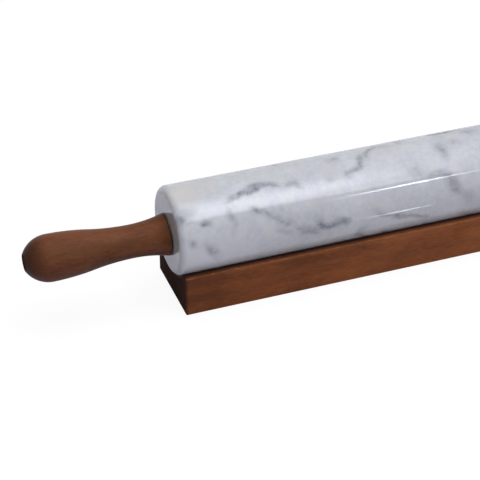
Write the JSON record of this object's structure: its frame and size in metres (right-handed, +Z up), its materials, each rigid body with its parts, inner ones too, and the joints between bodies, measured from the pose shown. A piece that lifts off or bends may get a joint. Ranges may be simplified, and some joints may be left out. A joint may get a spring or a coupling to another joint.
{
  "type": "marble rolling pin",
  "caption": "Marble rolling pin that turns on a steel rod between turned wooden handles, lying in the trough of a plain wooden cradle block.",
  "frame": {"origin": "on the surface that the cradle stands on, under the middle of the pin", "axes": "+X along the pin towards its right handle, +Z up"},
  "size_m": [0.4442, 0.06, 0.0788],
  "materials": {
    "marble": "polished, white with grey veins",
    "cradle_wood": "dark red-brown stain, satin",
    "handle_wood": "turned, red-brown stain, satin",
    "steel": "drawn bar, zinc plated",
    "nylon": "natural nylon, turned",
    "brass": "machined"
  },
  "bodies": {
    "cradle": {"cradle": "cradle_wood"},
    "axle": {"axle_rod": "steel", "left_washer": "steel", "right_washer": "steel", "left_insert": "brass", "right_insert": "brass", "left_handle": "handle_wood", "right_handle": "handle_wood"},
    "barrel": {"marble_barrel": "marble", "left_bushing": "nylon", "right_bushing": "nylon"}
  },
  "joints": [
    {"name": "lift_off", "type": "slide", "parent": "cradle", "child": "axle", "axis": [0, 0, 1], "range_m": [0, 0.1]},
    {"name": "barrel_spin", "type": "hinge", "parent": "axle", "child": "barrel", "pos_m": [0, 0, 0.0488], "axis": [1, 0, 0], "continuous": true}
  ]
}
